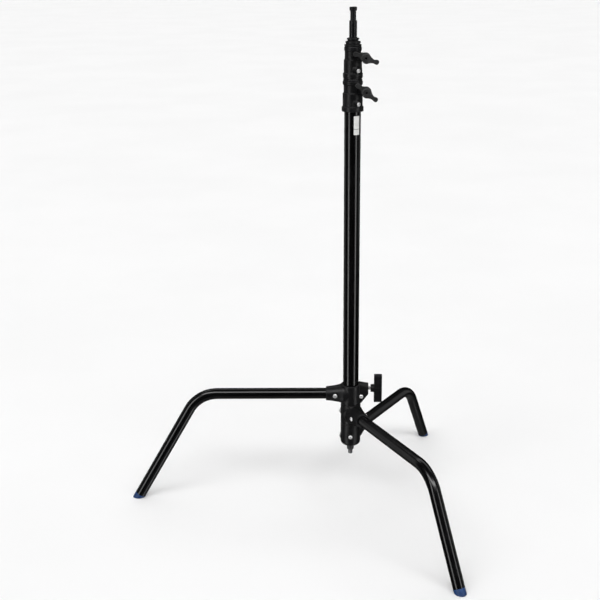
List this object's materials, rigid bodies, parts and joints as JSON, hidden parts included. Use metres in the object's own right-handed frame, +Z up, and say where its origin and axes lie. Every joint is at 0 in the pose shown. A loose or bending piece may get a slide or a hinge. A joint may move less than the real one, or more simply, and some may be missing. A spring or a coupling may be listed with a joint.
{
  "type": "c-stand",
  "caption": "Studio C-stand: telescoping two-riser column with winged clamps on nested bent legs, the top leg sliding and swinging on the column, topped by a waisted pin.",
  "frame": {"origin": "on the floor, at the centre of the stand's bounding box", "axes": "+Z up along the mast, +X towards the pictured right, +Y away from the pictured front"},
  "size_m": [0.7476, 0.7724, 1.1163],
  "materials": {
    "tube_black": "gloss black powder-coated steel tube",
    "casting_black": "satin black powder-coated die casting",
    "steel_bright": "bright zinc-plated steel",
    "plastic_black": "moulded black plastic",
    "nylon_black": "black nylon",
    "nylon_natural": "natural nylon",
    "foot_blue": "moulded blue plastic",
    "label_white": "blank white film",
    "spigot_black": "satin black plated steel"
  },
  "bodies": {
    "base": {"column_tube": "tube_black", "bottom_plug": "plastic_black", "bottom_bolt": "steel_bright", "bottom_nut": "steel_bright", "bottom_washer": "steel_bright", "label": "label_white", "lower_casting": "casting_black", "lower_casting_front_screw": "steel_bright", "lower_casting_side_screw": "steel_bright", "lower_thrust_washer": "nylon_black", "rear_leg_tube": "tube_black", "rear_leg_foot": "foot_blue", "rear_leg_bolt": "steel_bright", "rear_leg_nut": "steel_bright", "lower_collar": "casting_black", "lower_collar_bush": "plastic_black", "lower_collar_screw": "steel_bright", "lower_clamp_nut": "steel_bright"},
    "lower_clamp_handle": {"lower_handle": "casting_black", "lower_handle_bolt": "steel_bright", "lower_handle_washer": "steel_bright"},
    "middle_leg": {"middle_casting": "casting_black", "middle_casting_screw": "steel_bright", "upper_thrust_washer": "nylon_black", "front_leg_tube": "tube_black", "front_leg_foot": "foot_blue", "front_leg_bolt": "steel_bright", "front_leg_nut": "steel_bright"},
    "sliding_sleeve": {"leg_sleeve": "nylon_black"},
    "top_leg": {"upper_casting": "casting_black", "upper_casting_screw": "steel_bright", "left_leg_tube": "tube_black", "left_leg_foot": "foot_blue", "left_leg_bolt": "steel_bright", "left_leg_nut": "steel_bright", "brake_pad": "nylon_natural"},
    "leg_lock_knob": {"lock_knob": "plastic_black", "lock_knob_stud": "steel_bright"},
    "riser_1_guide": {"riser_1_guide_bush": "nylon_natural"},
    "riser_1": {"riser_1_tube": "tube_black", "upper_collar": "casting_black", "upper_collar_bush": "plastic_black", "upper_collar_screw": "steel_bright", "upper_clamp_nut": "steel_bright"},
    "upper_clamp_handle": {"upper_handle": "casting_black", "upper_handle_bolt": "steel_bright", "upper_handle_washer": "steel_bright"},
    "riser_2_guide": {"riser_2_guide_bush": "nylon_natural"},
    "riser_2": {"riser_2_tube": "tube_black", "top_fitting": "casting_black", "spigot": "spigot_black"}
  },
  "joints": [
    {"name": "riser_1_slide", "type": "slide", "parent": "base", "child": "riser_1_guide", "axis": [0, 0, 1], "range_m": [0, 0.68]},
    {"name": "riser_1_swivel", "type": "hinge", "parent": "riser_1_guide", "child": "riser_1", "pos_m": [0.13901, 0.02796, 0.94], "axis": [0, 0, 1], "continuous": true},
    {"name": "lower_handle_turn", "type": "hinge", "parent": "base", "child": "lower_clamp_handle", "pos_m": [0.16801, -0.00004, 0.9455], "axis": [0, -1, 0], "range_deg": [0, 270]},
    {"name": "riser_2_slide", "type": "slide", "parent": "riser_1", "child": "riser_2_guide", "axis": [0, 0, 1], "range_m": [0, 0.7]},
    {"name": "riser_2_swivel", "type": "hinge", "parent": "riser_2_guide", "child": "riser_2", "pos_m": [0.13901, 0.02796, 1.005], "axis": [0, 0, 1], "continuous": true},
    {"name": "upper_handle_turn", "type": "hinge", "parent": "riser_1", "child": "upper_clamp_handle", "pos_m": [0.16601, -0.00004, 1.0155], "axis": [0, -1, 0], "range_deg": [0, 270]},
    {"name": "front_leg_swing", "type": "hinge", "parent": "base", "child": "middle_leg", "pos_m": [0.13901, 0.02796, 0.214], "axis": [0, 0, 1], "range_deg": [0, 121]},
    {"name": "left_leg_slide", "type": "slide", "parent": "base", "child": "sliding_sleeve", "axis": [0, 0, 1], "range_m": [0, 0.3]},
    {"name": "left_leg_swing", "type": "hinge", "parent": "sliding_sleeve", "child": "top_leg", "pos_m": [0.13901, 0.02796, 0.262], "axis": [0, 0, 1], "range_deg": [-121, 0]},
    {"name": "lock_knob_turn", "type": "hinge", "parent": "top_leg", "child": "leg_lock_knob", "pos_m": [0.18901, 0.02796, 0.2752], "axis": [1, 0, 0], "range_deg": [0, 360]}
  ]
}
